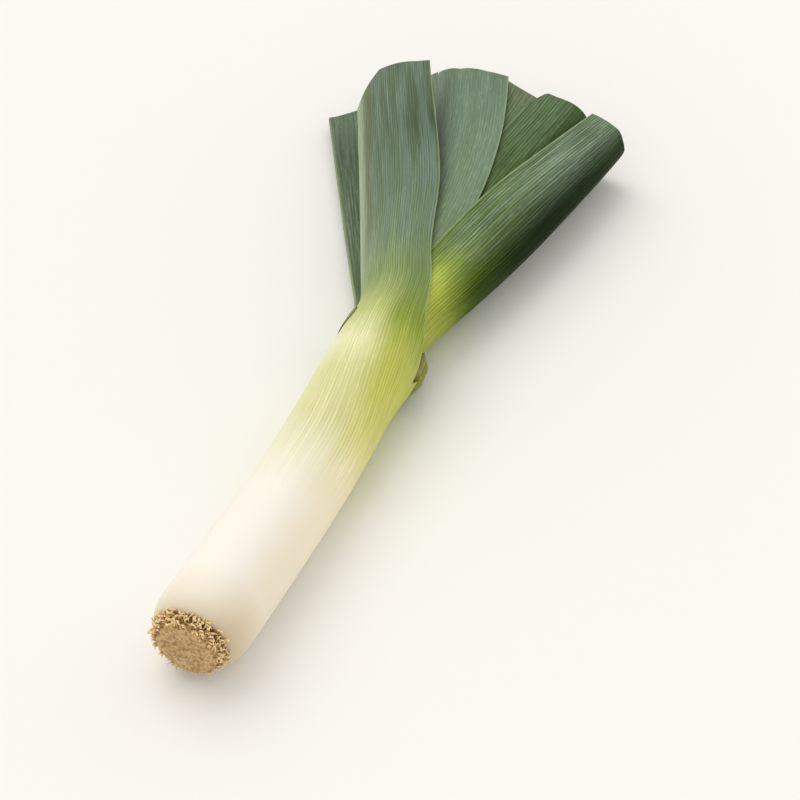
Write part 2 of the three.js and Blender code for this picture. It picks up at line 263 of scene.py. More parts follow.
class Skin:
    """Gathers grids of vertices and the faces between them into one mesh."""

    def __init__(self):
        self.points, self.faces, self.maps, self.edges = [], [], [], []

    def add(self, points, edge=0.0):
        """Takes a grid of points, and says which numbers its vertices have."""
        first = sum(len(p) for p in self.points)
        self.points.append(points.reshape(-1, 3))
        self.edges.append(np.broadcast_to(edge, points.shape[:-1]).ravel())
        return first + np.arange(points[..., 0].size).reshape(points.shape[:-1])

    def cover(self, index, across, along, flipped=False):
        """Lays four-sided faces over a grid of vertices, with their places across and along the leaf."""
        near, far = slice(None, -1), slice(1, None)
        corners = [(near, near), (near, far), (far, far), (far, near)]
        if flipped:
            corners.reverse()
        across = np.broadcast_to(across, index.shape)
        along = np.broadcast_to(along, index.shape)
        self.faces.append(np.stack([index[c].ravel() for c in corners], 1))
        self.maps.append(np.stack([np.stack([across[c].ravel(), along[c].ravel()], 1) for c in corners], 1))

    def piece(self, name, material):
        """The finished object, in metres, at its place on the table."""
        points = np.concatenate(self.points) + (ROOT_PLATE_X, ROOT_PLATE_Y, 0)
        faces = np.concatenate(self.faces)
        maps = np.concatenate(self.maps)
        mesh = bpy.data.meshes.new(name)
        mesh.from_pydata((points * MM).tolist(), [], faces.tolist())
        mesh.uv_layers.new(name="leaf").data.foreach_set("uv", maps.astype(np.float32).ravel())
        mesh.attributes.new("margin", "FLOAT", "POINT").data.foreach_set(
            "value", np.concatenate(self.edges).astype(np.float32))
        mesh.shade_smooth()
        mesh.materials.append(material)
        made = bpy.data.objects.new(name, mesh)
        scene.collection.objects.link(made)
        return made


def leaf_rows(leaf, v, start, count):
    """Distances from the mouth for every row and column of a leaf, with the last two rows close together."""
    rows = np.append((np.arange(count) / (count - 1)) ** ROW_CROWDING * 0.998, 1)[:, None]
    return mix(start, cut_length(leaf, v)[None, :], rows)


def place_along(s):
    """How far along the whole leek, from 0 at the roots, as the leaf's map has it."""
    return (s + MOUTH) / MAP_LENGTH


def close_margins(skin, outer, inner, v, along, turned):
    """Closes a sheet at its cut end and along its two margins."""
    across = v / 2 + 0.5
    skin.cover(np.stack([outer[-1], inner[-1]]), across, along[-1], turned)
    skin.cover(np.stack([outer[:, 0], inner[:, 0]]), across[0], along[:, 0], turned)
    skin.cover(np.stack([outer[:, -1], inner[:, -1]]), across[-1], along[:, -1], not turned)


def ribbed(leaf, v, s, height):
    """How far the sheet stands out, because of the ribs that run along it."""
    ribs = np.abs(np.sin(np.pi * v * leaf["ribs"]))
    strength = 0.7 + 0.3 * waves(v * 9, s / 30, leaf["layer"] + 11, 3)
    return height * (ribs * strength - 0.6)


def edge_mark(leaf, v, s):
    """1 at a margin of the leaf, falling to 0 within MARGIN_MARK of it, and -1 at its cut."""
    share = s / leaf["length"]
    wings = leaf.get("front", leaf["back"]), leaf["back"]
    widths = np.where(v > 0, wing_width(wings[0], share), wing_width(wings[1], share))
    to_margin = (1 - np.abs(v)) * widths
    if "front" not in leaf:
        to_margin = np.minimum(to_margin, np.abs(v) * widths)
    marks = 1 - np.clip(to_margin / MARGIN_MARK, 0, 1)
    marks[-1] = -1
    return marks


def vein_place(leaf, v, s):
    """Where a point lies among the veins, which draw together gently before the sheath narrows."""
    sheath = np.pi * leaf["nest"]
    places = []
    for wing in (leaf["back"], leaf["front"]):
        end = wing["collar"] * leaf["length"]
        own = np.where(s <= 0, sheath, wing_width(wing, s / leaf["length"]))
        gentle = mix(sheath, wing["widths"][1], ease((s + GATHERING) / (end + GATHERING)))
        places.append(v * own / np.where(s > end, own, gentle))
    return np.where(v > 0, places[1], places[0]) / 2 + 0.5


def link(tree, source, target):
    tree.links.new(source, target)


def new_node(tree, kind, **settings):
    made = tree.nodes.new(kind)
    for key, value in settings.items():
        setattr(made, key, value)
    return made


def maths(tree, operation, *values):
    """A maths node whose inputs are numbers or other nodes' outputs."""
    made = new_node(tree, "ShaderNodeMath", operation=operation)
    for socket, value in zip(made.inputs, values):
        if isinstance(value, bpy.types.NodeSocket):
            link(tree, value, socket)
        else:
            socket.default_value = value
    return made.outputs[0]


def smooth_step(tree, value, start, end):
    """0 where the value is at the start or before it, 1 at the end or beyond, and smooth in between."""
    made = new_node(tree, "ShaderNodeMapRange", interpolation_type="SMOOTHSTEP")
    link(tree, value, made.inputs["Value"])
    made.inputs["From Min"].default_value = start
    made.inputs["From Max"].default_value = end
    return made.outputs[0]


def vein_group():
    """A shader group that draws fine veins, fibres, flecks and broad patches of bloom along a leaf."""
    tree = bpy.data.node_groups.new("leaf veins", "ShaderNodeTree")
    for name in ("Veins across", "Along", "Unevenness"):
        tree.interface.new_socket(name, in_out="INPUT", socket_type="NodeSocketFloat")
    for name in ("Vein", "Fibre", "Fleck", "Bloom", "Streak"):
        tree.interface.new_socket(name, in_out="OUTPUT", socket_type="NodeSocketFloat")
    given = new_node(tree, "NodeGroupInput")
    result = new_node(tree, "NodeGroupOutput")

    def noise(across_scale, along_scale, detail, offset):
        spot = new_node(tree, "ShaderNodeCombineXYZ")
        link(tree, maths(tree, "MULTIPLY", given.outputs["Veins across"], across_scale), spot.inputs["X"])
        link(tree, maths(tree, "MULTIPLY", given.outputs["Along"], along_scale), spot.inputs["Y"])
        spot.inputs["Z"].default_value = offset
        texture = new_node(tree, "ShaderNodeTexNoise")
        texture.inputs["Scale"].default_value = 1
        texture.inputs["Detail"].default_value = detail
        link(tree, spot.outputs[0], texture.inputs["Vector"])
        return texture.outputs[0]

    drift = maths(tree, "MULTIPLY_ADD", noise(0.3, 5, 1, 0), 0.5, -0.25)
    line = maths(tree, "ADD", given.outputs["Veins across"], drift)
    off_line = maths(tree, "ABSOLUTE", maths(tree, "SUBTRACT", maths(tree, "FRACT", line), 0.5))
    sharp = smooth_step(tree, off_line, 0.26, 0.03)
    own = new_node(tree, "ShaderNodeTexWhiteNoise", noise_dimensions="1D")
    link(tree, maths(tree, "FLOOR", line), own.inputs["W"])
    weaker = maths(tree, "MULTIPLY", own.outputs[0], given.outputs["Unevenness"])
    strength = maths(tree, "SUBTRACT", 1, weaker)
    broken = maths(tree, "MULTIPLY_ADD", smooth_step(tree, noise(1.5, 24, 2, 4), 0.35, 0.6), 0.6, 0.4)
    vein = maths(tree, "MULTIPLY", maths(tree, "MULTIPLY", sharp, strength), broken)
    link(tree, vein, result.inputs["Vein"])
    link(tree, smooth_step(tree, noise(1.9, 16, 3, 8), 0.42, 0.62), result.inputs["Fibre"])
    link(tree, smooth_step(tree, noise(1.0, 75, 3, 12), 0.48, 0.7), result.inputs["Fleck"])
    link(tree, smooth_step(tree, noise(0.26, 5, 3, 22), 0.4, 0.6), result.inputs["Bloom"])
    link(tree, maths(tree, "SUBTRACT", noise(0.8, 2.5, 2, 15), 0.5), result.inputs["Streak"])
    return tree


def ramp_along(tree, along, stops):
    """Colours or strengths that follow each other along the leek, each at its distance from the roots."""
    ramp = new_node(tree, "ShaderNodeValToRGB")
    link(tree, along, ramp.inputs["Fac"])
    elements = ramp.color_ramp.elements
    while len(elements) < len(stops):
        elements.new(0.5)
    for element, (distance, colour) in zip(elements, stops):
        element.position = distance / MAP_LENGTH
        element.color = srgb(*colour) if isinstance(colour, tuple) else (colour, colour, colour, 1)
    return ramp.outputs["Color"]


def passed(tree, along, start, end):
    """0 nearer the roots than the first distance, in millimetres, and 1 beyond the second."""
    return smooth_step(tree, along, start / MAP_LENGTH, end / MAP_LENGTH)


def mixed(tree, share, first, second):
    """Two colours in one. The second, a node's output or a screen colour, takes the given share."""
    made = new_node(tree, "ShaderNodeMix", data_type="RGBA")
    link(tree, share, made.inputs["Factor"])
    link(tree, first, made.inputs[6])
    if isinstance(second, tuple):
        made.inputs[7].default_value = srgb(*second)
    else:
        link(tree, second, made.inputs[7])
    return made.outputs[2]


def shaded(tree, share, colour, value, saturation):
    """The colour with a lighter or darker, and duller or fresher, shade of its own mixed in by a share."""
    changed = new_node(tree, "ShaderNodeHueSaturation")
    changed.inputs["Value"].default_value = value
    changed.inputs["Saturation"].default_value = saturation
    link(tree, colour, changed.inputs["Color"])
    return mixed(tree, share, colour, changed.outputs[0])


veins = vein_group()
DRY_CUT = (118, 108, 76)


def leaf_material(name, look):
    """The finish of a leaf, with veins, flecks, thin pale margins and dry cut ends.

    Its look gives the colours along it by their distance from the roots. It may give others beside them near
    the margins (side), which on the shank's right flank are partly its own yellow-green and partly a painted
    warm bounce of light and painted shade, and others near the keel, over the whole length (pale) or on the
    blade alone (deep), a darker green that is partly the leaf's own and partly painted shade.
    It may also tint the keel, darken a broken stripe beside it, lay a bloom of wax over the blade, and keep
    the veins of the shank calm near the keel.
    """
    material = bpy.data.materials.new(name)
    material.use_nodes = True
    tree = material.node_tree
    shader = tree.nodes["Principled BSDF"]
    mapped = new_node(tree, "ShaderNodeUVMap", uv_map="leaf")
    split = new_node(tree, "ShaderNodeSeparateXYZ")
    link(tree, mapped.outputs[0], split.inputs[0])
    across = maths(tree, "MULTIPLY_ADD", split.outputs["X"], 2, -1)
    from_keel = maths(tree, "ABSOLUTE", across)
    along = split.outputs["Y"]
    pattern = new_node(tree, "ShaderNodeGroup", node_tree=veins)
    counted = maths(tree, "MULTIPLY_ADD", across, look["ribs"], look.get("seed", 0) * 40)
    link(tree, counted, pattern.inputs["Veins across"])
    link(tree, along, pattern.inputs["Along"])
    pattern.inputs["Unevenness"].default_value = look.get("unevenness", 0.5)
    streak = maths(tree, "MULTIPLY", pattern.outputs["Streak"], passed(tree, along, 32, 96))
    streaked = maths(tree, "MULTIPLY_ADD", streak, look.get("streaks", 0.05), along)
    colour = ramp_along(tree, streaked, look["along"])
    # Near the margins and the right flank the side colours mix in: on the shank partly its own yellow-green,
    # partly a painted warm bounce of light and painted shade.
    if "side" in look:
        beside = smooth_step(tree, from_keel, *look["side_from"])
        colour = mixed(tree, beside, colour, ramp_along(tree, streaked, look["side"]))
    if "pale" in look:
        inner, outer, stops = look["pale"]
        near_keel = smooth_step(tree, from_keel, outer, inner)
        colour = mixed(tree, near_keel, colour, ramp_along(tree, streaked, stops))
    strength = ramp_along(tree, along, look.get("vein_strength", [(0, 1), (MAP_LENGTH, 1)]))
    if "calm" in look:
        ribbed_part = maths(tree, "MAXIMUM", smooth_step(tree, from_keel, *look["calm"]), 0.3)
        ribbed_part = maths(tree, "MAXIMUM", ribbed_part, passed(tree, along, 152, 192))
        strength = maths(tree, "MULTIPLY", strength, ribbed_part)
    vein = maths(tree, "MULTIPLY", pattern.outputs["Vein"], strength)
    fibre = maths(tree, "MULTIPLY", pattern.outputs["Fibre"], strength)
    fleck = maths(tree, "MULTIPLY", pattern.outputs["Fleck"], strength)
    if "bloom" in look:
        blooming = maths(tree, "MULTIPLY", pattern.outputs["Bloom"], passed(tree, along, 188, 232))
        colour = mixed(tree, maths(tree, "MULTIPLY", blooming, 0.6), colour, look["bloom"])
    if "keel" in look:
        inner, outer, shade = look["keel"]
        near_keel = smooth_step(tree, from_keel, outer, inner)
        on_blade = passed(tree, along, 172, 200)
        colour = mixed(tree, maths(tree, "MULTIPLY", near_keel, on_blade), colour, shade)
    # The blade darkens towards its keel: partly the leaf's own deeper green, partly painted shade where the
    # blade turns away from the light.
    if "deep" in look:
        inner, outer, stops = look["deep"]
        near_keel = smooth_step(tree, from_keel, outer, inner)
        deep = maths(tree, "MULTIPLY", near_keel, passed(tree, along, 164, 212))
        colour = mixed(tree, deep, colour, ramp_along(tree, along, stops))
    if "stripe" in look:
        place, width, shade = look["stripe"]
        off_stripe = maths(tree, "ABSOLUTE", maths(tree, "SUBTRACT", from_keel, place))
        stripe = smooth_step(tree, off_stripe, width, 0)
        stripe = maths(tree, "MULTIPLY", stripe, passed(tree, along, 200, 240))
        broken = maths(tree, "MULTIPLY_ADD", pattern.outputs["Fibre"], 0.6, 0.3)
        colour = mixed(tree, maths(tree, "MULTIPLY", stripe, broken), colour, shade)
    colour = shaded(tree, fibre, colour, look.get("fibre", 0.7), 1.1)
    colour = shaded(tree, fleck, colour, look.get("fleck", 1.2), 0.92)
    colour = shaded(tree, vein, colour, look.get("vein", 1.5), look.get("vein_saturation", 0.85))
    edge = new_node(tree, "ShaderNodeAttribute", attribute_name="margin")
    colour = mixed(tree, maths(tree, "MULTIPLY", edge.outputs["Fac"], 0.85), colour, look["margin"])
    colour = mixed(tree, maths(tree, "MULTIPLY", edge.outputs["Fac"], -0.7), colour, DRY_CUT)
    link(tree, colour, shader.inputs["Base Color"])
    bump = new_node(tree, "ShaderNodeBump")
    bump.inputs["Strength"].default_value = 0.3
    bump.inputs["Distance"].default_value = 0.0002
    link(tree, maths(tree, "ADD", vein, fibre), bump.inputs["Height"])
    link(tree, bump.outputs[0], shader.inputs["Normal"])
    shader.inputs["Roughness"].default_value = look.get("roughness", 0.5)
    shader.inputs["Specular IOR Level"].default_value = look.get("shine", 0.25)
    shader.inputs["Subsurface Weight"].default_value = look.get("soft", 0.0)
    shader.inputs["Subsurface Radius"].default_value = (1, 0.9, 0.5)
    shader.inputs["Subsurface Scale"].default_value = 0.002
    return material


outer_leaf = {
    "side": LEFT, "layer": 0, "bend": (24, 22, -23.3, -24), "length": 174, "sharpness": 24,
    "front": {"widths": (53, 37.3, 40.8, 40), "collar": 0.215, "opened": 34},
    "back": {"widths": (52, 33, 40, 42), "collar": 0.2, "opened": 40},
    "cut": (13, 13), "ribs": 38, "nest": SHANK_RADIUS - LEAF_THICKNESS / 2,
}
SHANK_COLUMNS = 152
SHANK_RINGS = 80
OUTER_LEAF_ROWS = 90
RIB_HEIGHT = 0.06
RIDGE_PLACE = 0.62
RIDGE_SPREAD = 0.06
RIDGE_HEIGHT = 0.3
FOLD_HEIGHT = 0.07
DENT_HEIGHT = 0.12

columns = np.linspace(-1, 1, 2 * SHANK_COLUMNS + 1)


def shank_rings(y, radius, relief):
    """Rings round the shank's axis, from the right seam underneath to the left and back over the top."""
    y = np.asarray(y, float)[:, None]
    centre_x, centre_z = shank_centre(y)
    angle = np.pi * columns[None, :]
    folds = FOLD_HEIGHT * waves(np.cos(angle) * 9, np.sin(angle) * 9, 21, 4) * np.exp(-((y - 6) / 6) ** 2)
    dents = DENT_HEIGHT * waves(angle * 14, y / 2.5, 3, 30) * ease(y / 30)
    from_ridge = (columns[None, :] - RIDGE_PLACE) / RIDGE_SPREAD
    ridge = RIDGE_HEIGHT * np.exp(-from_ridge ** 2) * ease(y / 25) * ease((100 - y) / 30)
    ribs = ribbed(outer_leaf, columns[None, :], y - MOUTH, RIB_HEIGHT * ease((y - 75) / 50))
    radius = np.asarray(radius)[:, None] + relief * (ribs + folds + dents + ridge)
    low = centre_z + radius * np.sin(angle)
    return swollen(np.stack([centre_x - radius * np.cos(angle), y + 0 * angle, np.maximum(low, 0)], -1))


skin = Skin()
end_places = SHANK_START + END_ROUNDING * (1 - np.cos(np.linspace(0, np.pi / 2, 16)))
body_places = np.linspace(SHANK_START + END_ROUNDING, MOUTH, SHANK_RINGS + 1)[1:]
skin_places = np.concatenate([end_places, body_places])
ring_points = shank_rings(skin_places, shank_radius(skin_places), 1)
shank_skin = skin.add(ring_points[:, 1:])
shank_skin = np.concatenate([shank_skin[:, -1:], shank_skin], 1)
bore_places = np.array([THROAT_FLOOR, MOUTH])
bore = skin.add(shank_rings(bore_places, shank_radius(bore_places) - LEAF_THICKNESS, 0)[:, 1:])
bore = np.concatenate([bore[:, -1:], bore], 1)

row_distances = leaf_rows(outer_leaf, columns, 0, OUTER_LEAF_ROWS)
across_share = np.broadcast_to(columns, row_distances.shape)
middle, normals, thickness = leaf_sheet(outer_leaf, across_share, row_distances)
relief = ribbed(outer_leaf, across_share, row_distances, RIB_HEIGHT)
marks = edge_mark(outer_leaf, across_share, row_distances) * ease(row_distances / 25)
face_rows = []
for side in (1, -1):
    face = middle + normals * (side * thickness / 2 + relief)[..., None]
    face = swollen(settled(face, row_distances))
    face_rows.append(skin.add(face[1:], marks[1:]))
outer = np.concatenate([shank_skin[-1:], face_rows[0]])
inner = np.concatenate([bore[-1:], face_rows[1]])
along = place_along(row_distances)
ring_along = place_along(skin_places - MOUTH)[:, None]
skin.cover(shank_skin, vein_place(outer_leaf, columns, (skin_places - MOUTH)[:, None]), ring_along)
skin.cover(outer, vein_place(outer_leaf, across_share, row_distances), along)
skin.cover(bore, columns / 2 + 0.5, place_along(bore_places - MOUTH)[:, None], True)
skin.cover(inner, columns / 2 + 0.5, along, True)
close_margins(skin, outer, inner, columns, along, False)
for ring, flipped, y in ((shank_skin[0], True, SHANK_START), (bore[0], False, THROAT_FLOOR)):
    centre_x, centre_z = shank_centre(y)
    hub = skin.add(np.array([[centre_x, y, centre_z]]))
    fan = np.stack([ring, np.full_like(ring, hub[0])])
    skin.cover(fan, columns / 2 + 0.5, place_along(y - MOUTH), flipped)

shank_look = {
    "ribs": 38, "streaks": 0.05, "vein": 1.5, "vein_saturation": 0.7, "fibre": 0.74, "fleck": 1.1,
    "unevenness": 0.2, "calm": (0.2, 0.5), "roughness": 0.42, "soft": 0.25,
    "keel": (0.04, 0.2, (153, 169, 132)), "stripe": (0.2, 0.1, (92, 104, 50)),
    "bloom": (104, 127, 110), "margin": (164, 180, 126), "side_from": (0.58, 0.86),
    "along": [
        (0, (222, 206, 180)), (10, (238, 229, 211)), (24, (248, 242, 231)), (66, (248, 241, 229)),
        (86, (235, 232, 202)), (106, (219, 216, 160)), (132, (214, 214, 149)), (149, (233, 231, 178)),
        (170, (182, 192, 106)), (190, (128, 149, 86)), (212, (113, 136, 96)), (250, (90, 114, 80)),
        (290, (76, 99, 64)), (335, (83, 105, 71)),
    ],
    "pale": (0.15, 0.45, [
        (0, (222, 206, 180)), (10, (238, 229, 211)), (24, (244, 238, 227)), (66, (243, 236, 224)),
        (86, (237, 234, 208)), (110, (222, 220, 167)), (130, (224, 223, 171)), (150, (235, 233, 198)),
        (170, (184, 193, 112)), (190, (137, 157, 88)), (212, (121, 143, 98)), (250, (93, 116, 82)),
        (290, (76, 99, 64)), (335, (83, 105, 71)),
    ]),
    # The right flank's colours: partly its own saturated yellow-green, and partly a painted warm bounce of
    # light and painted shade.
    "side": [
        (0, (202, 182, 150)), (9, (226, 210, 182)), (22, (247, 235, 214)), (66, (249, 238, 213)),
        (90, (244, 233, 190)), (106, (223, 217, 130)), (122, (205, 205, 102)), (138, (194, 197, 82)),
        (152, (184, 189, 80)), (168, (140, 158, 44)), (186, (108, 130, 62)), (212, (106, 129, 92)),
        (250, (92, 116, 86)), (288, (53, 75, 36)), (335, (85, 107, 74)),
    ],
    "vein_strength": [(0, 0.0), (76, 0.03), (104, 0.4), (150, 0.45), (200, 0.85), (335, 1.0)],
}
piece = skin.piece("shank_and_outer_leaf", leaf_material("shank_and_outer_leaf", shank_look))
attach(piece, "root")
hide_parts("shank_with_outer_leaf")

# The younger leaves
# Each is a thick green sheet of its own, folded along its keel and nested inside the fold of the next older
# one. The two ranks fan out to the left and to the right, and a knife has cut them all off in an arc.
younger_leaves = [
    ("leaf_right_1", "green_leaf", {
        "side": RIGHT, "layer": 1, "bend": (14, 26, 16.6, 7.8), "length": 183, "sharpness": 12,
        "front": {"widths": (26, 29, 33.3, 22.4), "collar": 0.2, "opened": 30},
        "back": {"widths": (26, 28, 36, 34), "collar": 0.2, "opened": 30},
        "cut": (1, -3), "ribs": 24,
    }, {"vein": 1.9, "fibre": 0.6, "bloom": (113, 133, 110), "shine": 0.08, "roughness": 0.6,
        # Darker green on the keel side of the blade: partly its own deeper green, partly painted shade on the
        # blade's downturned lower side.
        "deep": (0.12, 0.68, [(200, (62, 84, 2)), (215, (46, 66, 0)), (235, (26, 44, 1)), (260, (18, 34, 3)),
                              (300, (22, 38, 9)), (330, (40, 56, 28))]),
        "vein_strength": [(150, 0.3), (196, 0.45), (232, 1.0), (340, 1.0)],
        "streaks": 0.08, "margin": (172, 190, 130), "seed": 1,
        "along": [(150, (158, 160, 92)), (166, (160, 162, 84)), (180, (184, 192, 80)), (193, (194, 204, 88)),
                  (208, (142, 164, 52)), (228, (100, 124, 50)), (256, (102, 123, 84)), (290, (119, 138, 112)),
                  (340, (112, 132, 104))],
        "side_from": (0.66, 0.92),
        "side": [(178, (150, 164, 60)), (200, (108, 126, 40)), (215, (104, 126, 30)), (235, (92, 116, 48)),
                 (256, (98, 119, 78)), (340, (106, 125, 98))]}),
    ("leaf_left_2", "grey_green_leaf", {
        "side": LEFT, "layer": 2, "bend": (22, 26, -4.6, -20.2), "length": 208, "sharpness": 22,
        "front": {"widths": (21.5, 30.5, 35.5, 37.8), "collar": 0.3, "opened": 30},
        "back": {"widths": (21.5, 25, 39, 37), "collar": 0.2, "opened": 30},
        "cut": (-13, -21), "ribs": 30,
    }, {"vein": 1.25, "fibre": 0.82, "bloom": (116, 138, 115),
        "streaks": 0.06, "margin": (166, 184, 136), "seed": 2,
        "along": [(150, (150, 162, 88)), (200, (112, 132, 80)), (230, (116, 139, 100)),
                  (290, (107, 130, 101)), (350, (98, 120, 96))]}),
    ("leaf_right_2", "green_leaf", {
        "side": RIGHT, "layer": 3, "bend": (14, 26, 8, 8), "length": 184.5, "sharpness": 20,
        "front": {"widths": (18, 20, 33, 35.5), "collar": 0.2, "opened": 28},
        "back": {"widths": (18, 21, 31, 34), "collar": 0.2, "opened": 28},
        "cut": (2.5, 5), "rounded": 16, "ribs": 24,
    }, {"vein": 1.75, "fibre": 0.62, "bloom": (80, 103, 62), "shine": 0.12,
        # Darker green on the keel side of the blade: partly its own, partly painted shade where it lies under
        # the leaves over it.
        "deep": (0.2, 0.6, [(200, (46, 68, 20)), (340, (50, 72, 28))]),
        "streaks": 0.06, "margin": (160, 178, 124), "seed": 3,
        "along": [(150, (130, 142, 66)), (200, (66, 82, 22)), (240, (56, 74, 12)), (270, (72, 94, 40)),
                  (300, (86, 109, 68)), (345, (88, 109, 77))]}),
    ("leaf_left_3", "green_leaf", {
        "side": LEFT, "layer": 4, "bend": (22, 30, -6.5, -6.5), "length": 188, "sharpness": 22,
        "front": {"widths": (15, 17, 27, 42), "collar": 0.2, "opened": 26},
        "back": {"widths": (15, 17, 27, 38), "collar": 0.2, "opened": 26},
        "cut": (8.6, -6.2), "ribs": 26,
    }, {"vein": 1.5, "fibre": 0.7, "bloom": (98, 120, 84),
        "streaks": 0.06, "margin": (150, 166, 118), "seed": 4,
        "along": [(150, (130, 144, 80)), (220, (84, 106, 56)), (310, (88, 110, 66)), (330, (98, 118, 82)),
                  (345, (112, 118, 84))]}),
    ("heart_leaf", "young_leaf", {
        "side": RIGHT, "layer": 5, "bend": (20, 30, 2, 2), "length": 180, "sharpness": 24,
        "front": {"widths": (12, 13, 17, 24), "collar": 0.2, "opened": 26},
        "back": {"widths": (12, 13, 17, 24), "collar": 0.2, "opened": 26},
        "cut": (1, 0), "ribs": 14,
    }, {"vein": 1.4, "fibre": 0.8, "streaks": 0.06, "margin": (190, 200, 140), "seed": 5,
        "along": [(150, (206, 206, 120)), (220, (140, 158, 80)), (350, (128, 156, 80))]}),
]
YOUNG_COLUMNS = 112
YOUNG_ROWS = 72
YOUNG_RIB_HEIGHT = 0.08
NEST_START = THROAT_FLOOR + 1.5


def leaf_skin(leaf, v, distances, height):
    """The closed skin of one leaf sheet: its two faces, its margins and both its ends."""
    skin = Skin()
    turned = leaf["side"] == RIGHT
    share = np.broadcast_to(v, distances.shape)
    middle, normals, thickness = leaf_sheet(leaf, share, distances)
    relief = ribbed(leaf, share, distances, height)
    marks = edge_mark(leaf, share, distances)
    rows = []
    for side in (1, -1):
        face = middle + normals * (side * thickness / 2 + relief)[..., None]
        rows.append(skin.add(settled(face, distances), marks))
    along = place_along(distances)
    across = v / 2 + 0.5
    skin.cover(rows[0], across, along, turned)
    skin.cover(rows[1], across, along, not turned)
    skin.cover(np.stack([rows[0][0], rows[1][0]]), across, along[0], not turned)
    close_margins(skin, rows[0], rows[1], v, along, turned)
    return skin


for name, finish, leaf, look in younger_leaves:
    leaf["nest"] = SHANK_RADIUS - LEAF_THICKNESS / 2 - leaf["layer"] * NEST_STEP
    look["ribs"] = leaf["ribs"]
    young_columns = np.linspace(-1, 1, 2 * YOUNG_COLUMNS + 1)
    distances = leaf_rows(leaf, young_columns, NEST_START - MOUTH, YOUNG_ROWS)
    piece = leaf_skin(leaf, young_columns, distances, YOUNG_RIB_HEIGHT).piece(name, leaf_material(name, look))
    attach(piece, "root")
    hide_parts(name)

# The oldest leaf
# It lies open on the table under the others, dark green. Its thin sheath has torn away from the shank: a
# ragged edge is left of it at its foot, and two dry strips still cling to the shank's sides.
oldest_leaf = {
    "side": LEFT, "layer": -1, "bend": (20, 26, -28, -28), "length": 184, "sharpness": 60, "sinks": 12,
    "back": {"widths": (42, 34, 44, 57), "collar": 0.25, "opened": 42},
    "cut": (18, 42), "ribs": 28, "nest": SHANK_RADIUS + SHEATH_GAP + LEAF_THICKNESS / 2,
}
oldest_look = {
    "ribs": 28, "vein": 1.4, "fibre": 0.7, "bloom": (116, 134, 108),
    "streaks": 0.04, "margin": (134, 150, 104), "seed": 6,
    # The pale band at its foot, about 184 to 194 mm, is partly the leaf's own paler base and partly painted
    # light, lifting the shade that the leaves above cast there.
    "along": [
        (120, (148, 148, 68)), (138, (138, 140, 60)), (152, (110, 112, 48)), (168, (150, 156, 96)),
        (184, (214, 221, 174)), (194, (204, 213, 170)), (212, (156, 175, 138)), (256, (136, 156, 128)),
        (296, (107, 126, 101)), (350, (98, 117, 92)),
    ],
}
OLDEST_START = 158
oldest_columns = np.linspace(-1, 0, YOUNG_COLUMNS + 1)
torn = OLDEST_START - MOUTH + 1.6 * waves(oldest_columns * 40, 0, 31, 12)
distances = leaf_rows(oldest_leaf, oldest_columns, torn[None, :], YOUNG_ROWS)
skin = leaf_skin(oldest_leaf, oldest_columns, distances, YOUNG_RIB_HEIGHT)

STRIP_THICKNESS = 0.35
STRIP_GAP = 0.45
STRIP_ROWS = 60
STRIP_COLUMNS = 30


def torn_strip(start, end, fading, foot, hidden, shown, stand_off, lean, mapped, seed):
    """A dry strip of the torn sheath, between two distances from the root plate and between angles.

    It clings to the shank between the foot's angle and the hidden one, widens out to the shown one, and
    narrows again past the share of its length where it fades.
    """
    rise = np.linspace(0, 1, STRIP_ROWS + 1)[:, None]
    across = np.linspace(0, 1, STRIP_COLUMNS + 1)[None, :]
    bulge = ease(rise / 0.3) * (1 - ease((rise - fading) / (1 - fading)))
    y = mix(start, end, rise) + 0.8 * waves(across * 20, 0, seed, 9)
    ragged = 1 + 0.07 * waves(rise * 40, 0, seed + 1, 8)
    angle = np.radians(mix(foot, mix(hidden, shown, bulge * ragged), across))
    creased = 0.16 * waves(across * 18, rise * 6, seed + 2, 7)
    raised = stand_off * np.sin(np.pi * across ** 1.6) + creased * (1 - across)
    radius = SHANK_RADIUS + STRIP_GAP + bulge * raised
    radius -= lean * across ** 3 * ease(rise / 0.25)
    x, z = shank_centre(np.minimum(y, MOUTH))
    mark = -np.maximum(ease((across - 0.9) / 0.1), ease((rise - 0.94) / 0.06))
    faces = []
    for side in (1, -1):
        reach = radius + side * STRIP_THICKNESS / 2
        face = np.stack([x + reach * np.cos(angle), y, z + reach * np.sin(angle)], -1)
        faces.append(skin.add(swollen(face), mark))
    share = 0.1 + across * 0.26
    place = mix(mapped[0], mapped[1], rise) + 0 * across
    turned = shown > foot
    skin.cover(faces[0], share, place, turned)
    skin.cover(faces[1], share, place, not turned)
    skin.cover(np.stack([faces[0][0], faces[1][0]]), share[0], place[0], not turned)
    skin.cover(np.stack([faces[0][-1], faces[1][-1]]), share[0], place[-1], turned)
    skin.cover(np.stack([faces[0][:, 0], faces[1][:, 0]]), share[0, 0], place[:, 0], turned)
    skin.cover(np.stack([faces[0][:, -1], faces[1][:, -1]]), share[0, -1], place[:, -1], not turned)


torn_strip(150, 182, 0.5, -58, -38, -4, 2.0, 3.0, (0.3, 0.38), 41)
torn_strip(160, 181, 0.5, 186, 172, 141, 0.15, 0.4, (0.4, 0.435), 44)
piece = skin.piece("oldest_leaf", leaf_material("oldest_leaf", oldest_look))
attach(piece, "root")
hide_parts("oldest_leaf")

